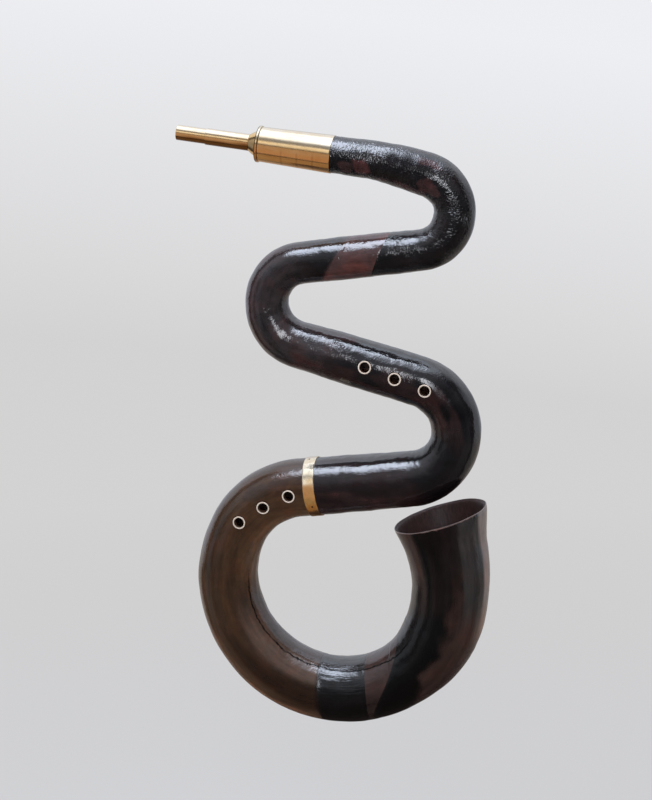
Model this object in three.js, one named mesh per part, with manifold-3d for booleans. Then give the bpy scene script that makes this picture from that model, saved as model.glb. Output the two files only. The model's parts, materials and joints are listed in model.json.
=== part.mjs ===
import * as THREE from 'three';
import { mergeVertices } from 'three/addons/utils/BufferGeometryUtils.js';
import Module from 'manifold-3d';

// A serpent bass horn, in millimetres with +Z up. Its tube winds in the XZ plane, the finger
// holes face -Y, the mouthpipe points to -X and the bell opens upwards on the +X side.

// Clearances and facets
const fit = 0.3;
const drillOverrun = 6;
const tubeSides = 18;
const boreSides = 12;
const roundSides = 20;
const holeSides = 16;
const chordHeight = 1.3;
const runStep = 56;
const leastStepShare = 0.2;

// Centre line: straight runs and arcs, from the mouth of the socket to the bell's rim.
// Turns are in degrees, clockwise or anticlockwise as the route below says.
const neckHeading = -6;
const neckRun = 138.5;
const neckArcRadius = 440;
const neckArcTurn = 11;
const firstBendRadius = 51;
const firstBendTurn = 154.5;
const secondRun = 160;
const secondBendRadius = 56.5;
const secondBendTurn = 157.5;
const thirdRun = 166;
const thirdBendRadius = 69;
const thirdBendTurn = 157.5;
const fourthRun = 154;
const shoulderRadius = 115;
const shoulderTurn = 55;
const loopRadius = 154;
const loopTurn = 197.5;
const limbRadius = 220;
const limbTurn = 22;
const bellToBendGap = 19;

// Outside radius of the covered tube, place by place
const tubeAtSocket = 22.9;
const tubeAtSleeveEnd = 24.3;
const tubeAfterNeck = 24.8;
const tubeIntoFirstBend = 28.5;
const tubeInFirstBend = 27.1;
const tubeAfterFirstBend = 27.1;
const tubeOnSecondRun = 28.2;
const tubeIntoSecondBend = 27.9;
const tubeInSecondBend = 29;
const tubeAfterSecondBend = 31.6;
const tubeOnThirdRun = 33.2;
const tubeIntoThirdBend = 33.4;
const tubeInThirdBend = 33;
const tubeAfterThirdBend = 37.4;
const tubeAtShoulder = 39.2;
const tubeIntoLoop = 39.8;
const tubeDownLoop = 42.3;
const tubeUnderLoop = 45;
const tubeUpLoop = 45.1;
const tubeAtKnee = 51.4;
const tubeIntoLimb = 51.5;
const tubeIntoFlare = 55;
const bellRimRadius = 64.2;
const kneeShare = 0.945;

// Walls
const leatherThickness = 1.2;
const neckWall = 9.5;
const bellWall = 3.2;

// Socket at the top of the neck, with its brass sleeve and rim
const socketRadius = 15.3;
const socketDepth = 42;
const socketTaper = 5;
const sleeveLength = 97;
const sleeveFrontRadius = 22.7;
const sleeveEndRadius = 24.9;
const rimRadius = 23.9;
const rimWidth = 3.8;
const rimEdge = 0.9;

// Mouthpipe: a turned cap with its spigot and lapped tenon, the tube soldered on the spigot,
// and the tuning slide inside the tube
const slideRadius = 9.9;
const slideWall = 0.8;
const slideShown = 39.5;
const slideHidden = 30;
const tubeWall = 0.6;
const tubeShown = 58.5;
const spigotShown = 0.6;
const spigotHidden = 12;
const capLength = 10.4;
const capRadius = 17.5;
const capTipRadius = 11.4;
const tenonLength = 36;
const lappingFromMouth = 2;
const lappingLength = 30;
const lappingThickness = 1.2;

// Brass band over the joint between the upper and the lower leather
const bandFromShoulder = 21;
const bandWidth = 15.5;
const bandThickness = 0.9;

// Finger holes: two groups of three, each turned a little round the tube from the very front
const holeRadius = 6.9;
const bushRadius = 8.8;
const bushProud = 1;
const bushDepth = 5.2;
const bushEdge = 0.8;
const upperHolePlace = 140;
const upperHoleSpacing = 42;
const upperHoleLeans = [10, 4, 1.5];
const lowerHolePlace = 48;
const lowerHoleSpacing = 40.5;
const lowerHoleLeans = [0, 5.5, -2.5];

// Seams of the leather and of the wood under it, with the slant of each cut in degrees
const patchStart = 53;
const patchStartSlant = 30;
const patchEnd = 111;
const patchEndSlant = 38;
const woodJointPastBend = 15;
const shoulderJointShare = 0.065;
const wrapStartShare = 0.553;
const wrapStartSlant = -12;
const stripeStartShare = 0.683;
const stripeStartSlant = 12.5;
const cornerStartShare = 0.7405;
const cornerStartSlant = 39;
const bellJointShare = 0.931;
const rimSlant = -4;

const radians = THREE.MathUtils.degToRad;

// The centre line, laid leg by leg

function onLeg(leg, distance) {
  if (!leg.radius) {
    return {
      x: leg.x + distance * Math.cos(leg.heading),
      z: leg.z + distance * Math.sin(leg.heading),
      heading: leg.heading,
    };
  }
  const side = Math.sign(leg.turn);
  const heading = leg.heading + side * distance / leg.radius;
  return {
    x: leg.x + side * leg.radius * (Math.sin(heading) - Math.sin(leg.heading)),
    z: leg.z - side * leg.radius * (Math.cos(heading) - Math.cos(leg.heading)),
    heading,
  };
}

function addLeg(route, name, { run, radius, turn = 0 }) {
  const last = route[route.length - 1];
  const from = last ? onLeg(last, last.length) : { x: 0, z: 0, heading: radians(neckHeading) };
  const angle = radians(turn);
  const length = radius ? radius * Math.abs(angle) : run;
  route.push({ name, radius, turn: angle, length, start: last ? last.start + last.length : 0, ...from });
}

function layRoute() {
  const route = [];
  addLeg(route, 'neck', { run: neckRun });
  addLeg(route, 'neckArc', { radius: neckArcRadius, turn: -neckArcTurn });
  addLeg(route, 'firstBend', { radius: firstBendRadius, turn: -firstBendTurn });
  addLeg(route, 'secondRun', { run: secondRun });
  addLeg(route, 'secondBend', { radius: secondBendRadius, turn: secondBendTurn });
  addLeg(route, 'thirdRun', { run: thirdRun });
  addLeg(route, 'thirdBend', { radius: thirdBendRadius, turn: -thirdBendTurn });
  addLeg(route, 'fourthRun', { run: fourthRun });
  addLeg(route, 'shoulder', { radius: shoulderRadius, turn: shoulderTurn });
  addLeg(route, 'loop', { radius: loopRadius, turn: loopTurn });
  addLeg(route, 'limb', { radius: limbRadius, turn: limbTurn });
  addLeg(route, 'flare', { run: flareRun(route) });
  return route;
}

// The bell ends where the middle of its rim stands bellToBendGap under the third bend.
function flareRun(route) {
  const bend = route.find((leg) => leg.name === 'thirdBend');
  const limb = route[route.length - 1];
  const end = onLeg(limb, limb.length);
  const centre = {
    x: bend.x + bend.radius * Math.sin(bend.heading),
    z: bend.z - bend.radius * Math.cos(bend.heading),
  };
  const reach = (centre.x - end.x) * Math.cos(end.heading) + (centre.z - end.z) * Math.sin(end.heading);
  return reach - thirdBendRadius - tubeAfterThirdBend - bellToBendGap;
}

const route = layRoute();
const legs = Object.fromEntries(route.map((leg) => [leg.name, leg]));
const tubeLength = legs.flare.start + legs.flare.length;

function place(name, share) {
  return legs[name].start + share * legs[name].length;
}

function lineAt(station) {
  const leg = route.findLast((one) => one.start <= station) ?? route[0];
  return onLeg(leg, station - leg.start);
}

// Outside radius at marked places along the line, from which the rest is blended
const halfShare = 0.5;
const quarterShare = 0.25;
const threeQuarterShare = 0.75;
const swell = [
  [0, tubeAtSocket],
  [sleeveLength, tubeAtSleeveEnd],
  [place('neckArc', 0), tubeAfterNeck],
  [place('firstBend', 0), tubeIntoFirstBend],
  [place('firstBend', halfShare), tubeInFirstBend],
  [place('secondRun', 0), tubeAfterFirstBend],
  [place('secondRun', halfShare), tubeOnSecondRun],
  [place('secondBend', 0), tubeIntoSecondBend],
  [place('secondBend', halfShare), tubeInSecondBend],
  [place('thirdRun', 0), tubeAfterSecondBend],
  [place('thirdRun', halfShare), tubeOnThirdRun],
  [place('thirdBend', 0), tubeIntoThirdBend],
  [place('thirdBend', halfShare), tubeInThirdBend],
  [place('fourthRun', 0), tubeAfterThirdBend],
  [place('shoulder', 0), tubeAtShoulder],
  [place('loop', 0), tubeIntoLoop],
  [place('loop', quarterShare), tubeDownLoop],
  [place('loop', halfShare), tubeUnderLoop],
  [place('loop', threeQuarterShare), tubeUpLoop],
  [place('loop', kneeShare), tubeAtKnee],
  [place('limb', 0), tubeIntoLimb],
  [place('flare', 0), tubeIntoFlare],
  [tubeLength, bellRimRadius],
];

function grade(i) {
  return (swell[i + 1][1] - swell[i][1]) / (swell[i + 1][0] - swell[i][0]);
}

// Slope of the swell at its i-th place: the harmonic mean of the grades on both sides
function slopeAt(i) {
  if (i === 0) return grade(0);
  if (i === swell.length - 1) return grade(i - 1);
  const before = grade(i - 1);
  const after = grade(i);
  return before * after > 0 ? 2 * before * after / (before + after) : 0;
}

function coverRadius(station) {
  const s = THREE.MathUtils.clamp(station, 0, tubeLength);
  const i = Math.min(swell.findLastIndex((row) => row[0] <= s), swell.length - 2);
  const span = swell[i + 1][0] - swell[i][0];
  const t = (s - swell[i][0]) / span;
  const rise = t * t * (3 - 2 * t);
  return swell[i][1] * (1 - rise) + swell[i + 1][1] * rise
    + span * t * (1 - t) * ((1 - t) * slopeAt(i) - t * slopeAt(i + 1));
}

function woodRadius(station) {
  return coverRadius(station) - leatherThickness - fit;
}

function boreRadius(station) {
  if (station <= socketDepth) return socketRadius / Math.cos(Math.PI / boreSides);
  return woodRadius(station) - THREE.MathUtils.lerp(neckWall, bellWall, station / tubeLength);
}

// A seam is a cut through the tube: its station on the centre line and its slant. The rim is
// sawn flat, and the other cuts are square to the tube's skin all round.
const seams = {
  top: { s: 0, slant: 0 },
  sleeveEnd: { s: sleeveLength, slant: 0 },
  patchStart: { s: place('secondRun', 0) + patchStart, slant: patchStartSlant },
  patchEnd: { s: place('secondRun', 0) + patchEnd, slant: patchEndSlant },
  thirdRun: { s: place('thirdRun', 0) + woodJointPastBend, slant: 0 },
  band: { s: place('shoulder', 0) - bandFromShoulder, slant: 0 },
  loop: { s: place('loop', shoulderJointShare), slant: 0 },
  wrapStart: { s: place('loop', wrapStartShare), slant: wrapStartSlant },
  stripeStart: { s: place('loop', stripeStartShare), slant: stripeStartSlant },
  cornerStart: { s: place('loop', cornerStartShare), slant: cornerStartSlant },
  bellJoint: { s: place('loop', bellJointShare), slant: 0 },
  rim: { s: tubeLength, slant: rimSlant, flat: true },
};

// Stations of every section: each leg is cut into even steps, and the socket has its own two.
// On a bend the outermost facets stay within chordHeight of the true curve.
function legStations(leg) {
  const outermost = (leg.radius ?? 0) + coverRadius(leg.start + leg.length);
  const byTurn = Math.abs(leg.turn) / (2 * Math.acos(1 - chordHeight / outermost));
  const count = Math.max(1, Math.ceil(Math.max(byTurn, leg.length / runStep)));
  return Array.from({ length: count }, (_, i) => leg.start + leg.length * i / count);
}

const socketStations = [socketDepth, socketDepth + socketTaper];
const freeStations = [...route.flatMap(legStations), ...socketStations];

function layCuts() {
  const marks = Object.values(seams).map(({ slant, ...seam }) => ({ ...seam, slope: Math.tan(radians(slant)) }));
  const cuts = [];
  marks.forEach((mark, i) => {
    cuts.push(mark);
    const next = marks[i + 1];
    if (!next) return;
    const margin = runStep * leastStepShare;
    const inside = freeStations.filter((s) => s > mark.s + margin && s < next.s - margin);
    inside.sort((a, b) => a - b);
    inside.forEach((s) => {
      const share = (s - mark.s) / (next.s - mark.s);
      cuts.push({ s, slope: THREE.MathUtils.lerp(mark.slope, next.slope, share) });
    });
  });
  return cuts;
}

const cuts = layCuts();

// The cuts of one piece, from seam to seam, with half the fit taken off at each end
function cutsBetween(from, to) {
  const chosen = cuts.filter(({ s }) => s >= from.s && s <= to.s).map((cut) => ({ ...cut }));
  chosen[0].s += fit / 2;
  chosen[chosen.length - 1].s -= fit / 2;
  return chosen;
}

// Point on the tube: the cut's station, shifted by its slant, then out by the radius there.
// Angle 0 lies in the plane of the line, on its left, and angle 90 degrees faces +Y.
function tubePoint(cut, radiusAt, angle) {
  const lateral = Math.cos(angle);
  const reach = cut.flat ? radiusAt(cut.s) : coverRadius(cut.s);
  const station = cut.s + cut.slope * reach * lateral;
  const radius = radiusAt(station);
  const { x, z, heading } = lineAt(station);
  return new THREE.Vector3(
    x - Math.sin(heading) * radius * lateral,
    radius * Math.sin(angle),
    z + Math.cos(heading) * radius * lateral,
  );
}

function solidFrom(points, faces) {
  const geometry = new THREE.BufferGeometry();
  const numbers = points.flatMap((point) => point.toArray());
  geometry.setAttribute('position', new THREE.Float32BufferAttribute(numbers, 3));
  const volume = faces.reduce((sum, [a, b, c]) => {
    const cross = new THREE.Vector3().crossVectors(points[b], points[c]);
    return sum + points[a].dot(cross);
  }, 0);
  geometry.setIndex((volume < 0 ? faces.map(([a, b, c]) => [a, c, b]) : faces).flat());
  geometry.computeVertexNormals();
  return geometry;
}

// Quads between closed loops of equal count, laid one after another in the list of points.
// Mirrored loops take the mirrored diagonal, so that skins one over the other stay parallel.
function skin(faces, rows, count, offset, mirrored) {
  for (let row = 0; row < rows - 1; row += 1) {
    for (let k = 0; k < count; k += 1) {
      const a = offset + row * count + k;
      const b = offset + row * count + (k + 1) % count;
      const quad = mirrored
        ? [[a, b, a + count], [b, b + count, a + count]]
        : [[a, b, b + count], [a, b + count, a + count]];
      faces.push(...quad);
    }
  }
}

// A whole sleeve round the tube, between two radii
function sleeveGeometry(rings, outerAt, innerAt) {
  const loops = (radiusAt) => rings.flatMap((cut) => Array.from(
    { length: tubeSides },
    (_, k) => tubePoint(cut, radiusAt, 2 * Math.PI * k / tubeSides),
  ));
  const points = [...loops(outerAt), ...loops(innerAt)];
  const inner = rings.length * tubeSides;
  const faces = [];
  skin(faces, rings.length, tubeSides, 0, false);
  const within = [];
  skin(within, rings.length, tubeSides, inner, false);
  faces.push(...within.map(([p, q, r]) => [p, r, q]));
  [0, inner - tubeSides].forEach((base, end) => {
    for (let k = 0; k < tubeSides; k += 1) {
      const a = base + k;
      const b = base + (k + 1) % tubeSides;
      const quad = [[a, b, inner + b], [a, inner + b, inner + a]];
      faces.push(...(end ? quad : quad.map(([p, q, r]) => [p, r, q])));
    }
  });
  return solidFrom(points, faces);
}

// Half of the wooden tube: side -1 is the front and side 1 the back. Its two flat edges stand
// half the fit off the middle plane.
function halfGeometry(rings, side, boreCount) {
  const outer = tubeSides / 2;
  const inner = boreCount / 2;
  const count = outer + inner + 2;
  const arc = (cut, radiusAt, steps) => Array.from(
    { length: steps + 1 },
    (_, k) => {
      const point = tubePoint(cut, radiusAt, side * Math.PI * k / steps);
      if (k % steps === 0) point.y = side * fit / 2;
      return point;
    },
  );
  const points = rings.flatMap((cut) => [
    ...arc(cut, woodRadius, outer),
    ...arc(cut, boreRadius, inner).reverse(),
  ]);
  const faces = [];
  skin(faces, rings.length, count, 0, side < 0);
  const last = (rings.length - 1) * count;
  halfEnd(outer, inner).forEach(([a, b, c]) => {
    faces.push([a, c, b], [last + a, last + b, last + c]);
  });
  return solidFrom(points, faces);
}

// The flat end between the two arcs of a half, stepping along whichever arc is behind
function halfEnd(outer, inner) {
  const faces = [];
  const last = outer + inner + 1;
  let i = 0;
  let j = 0;
  while (i < outer || j < inner) {
    if ((i + 1) * inner <= (j + 1) * outer && i < outer) {
      faces.push([i, i + 1, last - j]);
      i += 1;
    } else {
      faces.push([i, last - j - 1, last - j]);
      j += 1;
    }
  }
  return faces;
}

// A turned piece, from profile points [radius, distance along its axis]
function turned(profile, sides = roundSides) {
  const closed = [...profile, profile[0]].map(([r, d]) => new THREE.Vector2(r, d));
  const geometry = new THREE.LatheGeometry(closed, sides);
  geometry.deleteAttribute('normal');
  geometry.deleteAttribute('uv');
  const merged = mergeVertices(geometry);
  const positions = merged.getAttribute('position');
  const points = Array.from(
    { length: positions.count },
    (_, i) => new THREE.Vector3().fromBufferAttribute(positions, i),
  );
  const index = merged.getIndex().array;
  const faces = [];
  for (let i = 0; i < index.length; i += 3) {
    const face = [index[i], index[i + 1], index[i + 2]];
    if (new Set(face).size === face.length) faces.push(face);
  }
  return solidFrom(points, faces);
}

const wasm = await Module();
wasm.setup();

function toSolid(geometry) {
  const bare = new THREE.BufferGeometry();
  bare.setAttribute('position', geometry.getAttribute('position'));
  bare.setIndex(geometry.getIndex());
  const merged = mergeVertices(bare);
  return new wasm.Manifold(new wasm.Mesh({
    numProp: 3,
    vertProperties: new Float32Array(merged.getAttribute('position').array),
    triVerts: new Uint32Array(merged.getIndex().array),
  }));
}

function fromSolid(solid) {
  const mesh = solid.getMesh();
  const geometry = new THREE.BufferGeometry();
  geometry.setAttribute('position', new THREE.Float32BufferAttribute(mesh.vertProperties, 3));
  geometry.setIndex([...mesh.triVerts]);
  geometry.computeVertexNormals();
  return geometry;
}

function drilled(geometry, drills) {
  return fromSolid(drills.reduce((solid, drill) => solid.subtract(toSolid(drill)), toSolid(geometry)));
}

// Rows of three holes, given by the middle one
function holeRow(middle, spacing, leans) {
  return leans.map((lean, i) => ({ s: middle + spacing * (i - 1), lean }));
}

const upperHoles = holeRow(place('thirdRun', 0) + upperHolePlace, upperHoleSpacing, upperHoleLeans);
const lowerHoles = holeRow(place('shoulder', 0) + lowerHolePlace, lowerHoleSpacing, lowerHoleLeans);

// Puts a piece turned round +Y on the tube's surface, with +Y pointing out of the tube.
function onSurface(geometry, { s, lean }) {
  const angle = radians(lean - 90);
  const foot = tubePoint({ s, slope: 0 }, coverRadius, angle);
  const axis = tubePoint({ s, slope: 0 }, () => 0, angle);
  const out = foot.clone().sub(axis).normalize();
  const spin = new THREE.Quaternion().setFromUnitVectors(new THREE.Vector3(0, 1, 0), out);
  return geometry.applyQuaternion(spin).translate(foot.x, foot.y, foot.z);
}

// The drill opens a seat for the bush and goes on at the finger hole's width into the bore.
function holeDrill(hole) {
  const seat = bushRadius + fit;
  const floor = -bushDepth - fit;
  const through = coverRadius(hole.s) - boreRadius(hole.s) + drillOverrun;
  return onSurface(turned([
    [0, -through],
    [holeRadius, -through],
    [holeRadius, floor],
    [seat, floor],
    [seat, drillOverrun],
    [0, drillOverrun],
  ], holeSides), hole);
}

function bushGeometry(hole) {
  return onSurface(turned([
    [holeRadius, -bushDepth],
    [bushRadius, -bushDepth],
    [bushRadius, bushProud - bushEdge],
    [bushRadius - bushEdge, bushProud],
    [holeRadius, bushProud],
  ], holeSides), hole);
}

// Brass turned round the neck's axis. Distances run outwards from the mouth of the socket, so
// the lathe's +Y turns to point back along the centre line.
function onNeck(geometry) {
  const heading = radians(neckHeading);
  const out = new THREE.Vector3(-Math.cos(heading), 0, -Math.sin(heading));
  const spin = new THREE.Quaternion().setFromUnitVectors(new THREE.Vector3(0, 1, 0), out);
  return geometry.applyQuaternion(spin);
}

function pipe(inner, outer, from, to) {
  return onNeck(turned([[inner, from], [outer, from], [outer, to], [inner, to]]));
}

const rimFace = fit / 2 + rimWidth;
const capFace = rimFace + fit;
const capEnd = capFace + capLength;
const tubeStart = capEnd + spigotShown;
const tubeEnd = tubeStart + tubeShown;
const slideBore = slideRadius - slideWall;
const tubeInner = slideRadius + fit;
const lappingRadius = socketRadius - fit;
const tenonRadius = lappingRadius - lappingThickness - fit;

function rimGeometry() {
  const bore = socketRadius / Math.cos(Math.PI / roundSides);
  return onNeck(turned([
    [bore, fit / 2],
    [rimRadius - rimEdge, fit / 2],
    [rimRadius, fit / 2 + rimEdge],
    [rimRadius, rimFace - rimEdge],
    [rimRadius - rimEdge, rimFace],
    [bore, rimFace],
  ]));
}

// The cap's flank is a cone from its foot on the rim up to a tip just short of the tube.
function capGeometry() {
  return onNeck(turned([
    [slideBore, -tenonLength],
    [tenonRadius, -tenonLength],
    [tenonRadius, capFace],
    [capRadius, capFace],
    [capRadius, capFace + rimEdge],
    [capTipRadius, capEnd],
    [slideRadius, capEnd],
    [slideRadius, tubeStart + spigotHidden],
    [slideBore, tubeStart + spigotHidden],
  ]));
}

// Colours and finishes
const finishes = {
  leather: { color: 0x17130f, roughness: 0.22, metalness: 0 },
  leatherRed: { color: 0x2e1512, roughness: 0.25, metalness: 0 },
  leatherBrown: { color: 0x33241b, roughness: 0.24, metalness: 0 },
  walnut: { color: 0x4a2a1e, roughness: 0.4, metalness: 0 },
  brass: { color: 0xc79a4e, roughness: 0.2, metalness: 1 },
  bone: { color: 0xe2cdb8, roughness: 0.4, metalness: 0 },
  thread: { color: 0x8c7a5c, roughness: 0.9, metalness: 0 },
};

const serpent = new THREE.Group();

function add(name, finish, geometry) {
  const mesh = new THREE.Mesh(geometry, new THREE.MeshStandardMaterial(finishes[finish]));
  mesh.name = name;
  serpent.add(mesh);
}

function addDrilled(name, finish, geometry, holes) {
  add(name, finish, holes.length ? drilled(geometry, holes.map(holeDrill)) : geometry);
}

// Walnut tube, each length in two halves
const woodLengths = [
  ['neck', seams.top, seams.patchStart, boreSides, []],
  ['second_bend', seams.patchStart, seams.thirdRun, boreSides, []],
  ['third_bend', seams.thirdRun, seams.band, boreSides, upperHoles],
  ['shoulder', seams.band, seams.loop, boreSides, lowerHoles],
  ['loop', seams.loop, seams.wrapStart, boreSides, []],
  ['corner', seams.wrapStart, seams.bellJoint, boreSides, []],
  ['bell', seams.bellJoint, seams.rim, tubeSides, []],
];
woodLengths.forEach(([name, from, to, sides, holes]) => {
  const rings = cutsBetween(from, to);
  addDrilled(`wood_${name}_front`, 'walnut', halfGeometry(rings, -1, sides), holes);
  add(`wood_${name}_back`, 'walnut', halfGeometry(rings, 1, sides));
});

// Leather over the wood
const leatherInner = (station) => coverRadius(station) - leatherThickness;
const leatherPieces = [
  ['neck', 'leather', seams.sleeveEnd, seams.patchStart, []],
  ['patch', 'leatherRed', seams.patchStart, seams.patchEnd, []],
  ['middle', 'leather', seams.patchEnd, seams.band, upperHoles],
  ['shoulder', 'leatherBrown', seams.band, seams.wrapStart, lowerHoles],
  ['black_wrap', 'leather', seams.wrapStart, seams.stripeStart, []],
  ['stripe', 'leatherBrown', seams.stripeStart, seams.cornerStart, []],
  ['corner', 'leather', seams.cornerStart, seams.bellJoint, []],
  ['bell', 'leather', seams.bellJoint, seams.rim, []],
];
leatherPieces.forEach(([name, finish, from, to, holes]) => {
  const leather = sleeveGeometry(cutsBetween(from, to), coverRadius, leatherInner);
  addDrilled(`cover_${name}`, finish, leather, holes);
});

// Bone bushes in the finger holes
[...upperHoles, ...lowerHoles].forEach((hole, i) => {
  add(`finger_bush_${i + 1}`, 'bone', bushGeometry(hole));
});

// Brass on the body
const bandInner = (station) => coverRadius(station) + fit;
const bandOuter = (station) => bandInner(station) + bandThickness;
const bandRings = [-bandWidth / 2, bandWidth / 2].map((shift) => ({ s: seams.band.s + shift, slope: 0 }));
add('joint_band', 'brass', sleeveGeometry(bandRings, bandOuter, bandInner));

const sleeveOuter = (station) => THREE.MathUtils.lerp(
  sleeveFrontRadius,
  sleeveEndRadius,
  station / sleeveLength,
);
const sleeveInner = (station) => woodRadius(station) + fit;
const sleeveRings = cutsBetween(seams.top, seams.sleeveEnd);
add('socket_sleeve', 'brass', sleeveGeometry(sleeveRings, sleeveOuter, sleeveInner));
add('socket_rim', 'brass', rimGeometry());

// Mouthpipe
const lappingEnd = -lappingFromMouth - lappingLength;
add('tenon_lapping', 'thread', pipe(tenonRadius + fit, lappingRadius, lappingEnd, -lappingFromMouth));
add('crook_cap', 'brass', capGeometry());
add('crook_tube', 'brass', pipe(tubeInner, tubeInner + tubeWall, tubeStart, tubeEnd));
add('slide_tube', 'brass', pipe(slideBore, slideRadius, tubeEnd - slideHidden, tubeEnd + slideShown));

// The origin is where a wall peg carries the horn, under the tube at the start of the first bend.
const peg = tubePoint({ s: place('firstBend', 0), slope: 0 }, coverRadius, Math.PI);
serpent.position.copy(peg).negate();

export default serpent;
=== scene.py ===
"""A leather-covered serpent bass horn, dressed for rendering round its fixed frame.

Lengths are written in millimetres and turned into metres as meshes are made.
"""

import json
import math

import bpy
import numpy as np
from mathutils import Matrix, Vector

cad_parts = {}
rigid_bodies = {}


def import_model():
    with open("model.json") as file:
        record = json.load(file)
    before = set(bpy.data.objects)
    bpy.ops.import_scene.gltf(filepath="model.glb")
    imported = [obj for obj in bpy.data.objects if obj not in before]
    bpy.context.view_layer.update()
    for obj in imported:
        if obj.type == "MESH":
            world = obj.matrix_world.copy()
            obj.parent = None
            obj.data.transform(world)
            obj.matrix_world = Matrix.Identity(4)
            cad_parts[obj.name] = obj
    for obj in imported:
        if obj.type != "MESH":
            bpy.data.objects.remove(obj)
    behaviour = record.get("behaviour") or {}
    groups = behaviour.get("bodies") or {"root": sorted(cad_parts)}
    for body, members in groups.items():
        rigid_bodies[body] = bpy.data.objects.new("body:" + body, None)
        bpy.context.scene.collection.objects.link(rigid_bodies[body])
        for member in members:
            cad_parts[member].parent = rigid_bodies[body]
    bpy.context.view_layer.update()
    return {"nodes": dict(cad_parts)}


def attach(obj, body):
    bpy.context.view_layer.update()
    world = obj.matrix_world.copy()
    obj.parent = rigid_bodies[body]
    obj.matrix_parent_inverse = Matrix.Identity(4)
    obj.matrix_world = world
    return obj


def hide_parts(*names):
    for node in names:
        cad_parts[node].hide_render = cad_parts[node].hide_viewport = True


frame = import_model()

MM = 0.001
FRONT = -math.pi / 2
FIT = 0.3
LEATHER = 1.2
NECK_HEADING = math.radians(-6)
BELL_TO_BEND = 19
THIRD_BEND_RADIUS = 69
AFTER_THIRD_BEND = 37.4
RIM_RADIUS = 64.2

# Centre line
# Name, bend radius, turn in degrees, straight run
LEGS = [
    ("neck", 0, 0, 138.5),
    ("neck_arc", 440, -11, 0),
    ("first_bend", 51, -154.5, 0),
    ("second_run", 0, 0, 160),
    ("second_bend", 56.5, 157.5, 0),
    ("third_run", 0, 0, 166),
    ("third_bend", THIRD_BEND_RADIUS, -157.5, 0),
    ("fourth_run", 0, 0, 154),
    ("shoulder", 115, 55, 0),
    ("loop", 154, 197.5, 0),
    ("limb", 220, 22, 0),
]


def on_leg(leg, distance):
    if not leg["radius"]:
        x = leg["x"] + distance * np.cos(leg["heading"])
        return x, leg["z"] + distance * np.sin(leg["heading"]), leg["heading"]
    side = np.sign(leg["turn"])
    heading = leg["heading"] + side * distance / leg["radius"]
    x = leg["x"] + side * leg["radius"] * (np.sin(heading) - np.sin(leg["heading"]))
    z = leg["z"] - side * leg["radius"] * (np.cos(heading) - np.cos(leg["heading"]))
    return x, z, heading


def add_leg(route, name, radius, turn, run):
    if route:
        last = route[-1]
        start = last["start"] + last["length"]
        x, z, heading = on_leg(last, last["length"])
    else:
        start, x, z, heading = 0, 0, 0, NECK_HEADING
    turn = math.radians(turn)
    length = radius * abs(turn) if radius else run
    leg = dict(name=name, radius=radius, turn=turn, length=length)
    leg.update(start=start, x=x, z=z, heading=heading)
    route.append(leg)


def flare_run(route):
    """The bell's rim stands BELL_TO_BEND under the third bend."""
    bend = next(leg for leg in route if leg["name"] == "third_bend")
    x, z, heading = on_leg(route[-1], route[-1]["length"])
    centre_x = bend["x"] + bend["radius"] * math.sin(bend["heading"])
    centre_z = bend["z"] - bend["radius"] * math.cos(bend["heading"])
    reach = (centre_x - x) * math.cos(heading) + (centre_z - z) * math.sin(heading)
    return reach - THIRD_BEND_RADIUS - AFTER_THIRD_BEND - BELL_TO_BEND


ROUTE = []
for name, radius, turn, run in LEGS:
    add_leg(ROUTE, name, radius, turn, run)
add_leg(ROUTE, "flare", 0, 0, flare_run(ROUTE))
LEG = {leg["name"]: leg for leg in ROUTE}
STARTS = np.array([leg["start"] for leg in ROUTE])


def place(name, share):
    return LEG[name]["start"] + share * LEG[name]["length"]


LENGTH = place("flare", 1)


def line_at(station):
    """x, z and heading of the centre line at each station."""
    station = np.atleast_1d(np.asarray(station, float))
    x, z, heading = (np.empty_like(station) for _ in range(3))
    index = np.clip(np.searchsorted(STARTS, station, side="right") - 1, 0, None)
    for i, leg in enumerate(ROUTE):
        here = index == i
        if here.any():
            x[here], z[here], heading[here] = on_leg(leg, station[here] - leg["start"])
    return x, z, heading


SLEEVE_END = 97
SWELL_ON_LEGS = [
    ("neck_arc", 0, 24.8),
    ("first_bend", 0, 28.5),
    ("first_bend", 0.5, 27.1),
    ("second_run", 0, 27.1),
    ("second_run", 0.5, 28.2),
    ("second_bend", 0, 27.9),
    ("second_bend", 0.5, 29),
    ("third_run", 0, 31.6),
    ("third_run", 0.5, 33.2),
    ("third_bend", 0, 33.4),
    ("third_bend", 0.5, 33),
    ("fourth_run", 0, AFTER_THIRD_BEND),
    ("shoulder", 0, 39.2),
    ("loop", 0, 39.8),
    ("loop", 0.25, 42.3),
    ("loop", 0.5, 45),
    ("loop", 0.75, 45.1),
    ("loop", 0.945, 51.4),
    ("limb", 0, 51.5),
    ("flare", 0, 55),
]
SWELL = [(place(leg, share), radius) for leg, share, radius in SWELL_ON_LEGS]
SWELL = np.array([(0, 22.9), (SLEEVE_END, 24.3), *SWELL, (LENGTH, RIM_RADIUS)])
GRADES = np.diff(SWELL[:, 1]) / np.diff(SWELL[:, 0])
JOINED = GRADES[:-1] * GRADES[1:] > 0
BLENDED = 2 * GRADES[:-1] * GRADES[1:] / np.where(JOINED, GRADES[:-1] + GRADES[1:], 1)
SLOPES = np.concatenate([GRADES[:1], np.where(JOINED, BLENDED, 0), GRADES[-1:]])


def cover_radius(station):
    s = np.clip(station, 0, LENGTH)
    i = np.clip(np.searchsorted(SWELL[:, 0], s, side="right") - 1, 0, len(SWELL) - 2)
    span = SWELL[i + 1, 0] - SWELL[i, 0]
    t = (s - SWELL[i, 0]) / span
    rise = t * t * (3 - 2 * t)
    bulge = span * t * (1 - t) * ((1 - t) * SLOPES[i] - t * SLOPES[i + 1])
    return SWELL[i, 1] * (1 - rise) + SWELL[i + 1, 1] * rise + bulge


def wood_radius(station):
    return cover_radius(station) - LEATHER - FIT


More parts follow.
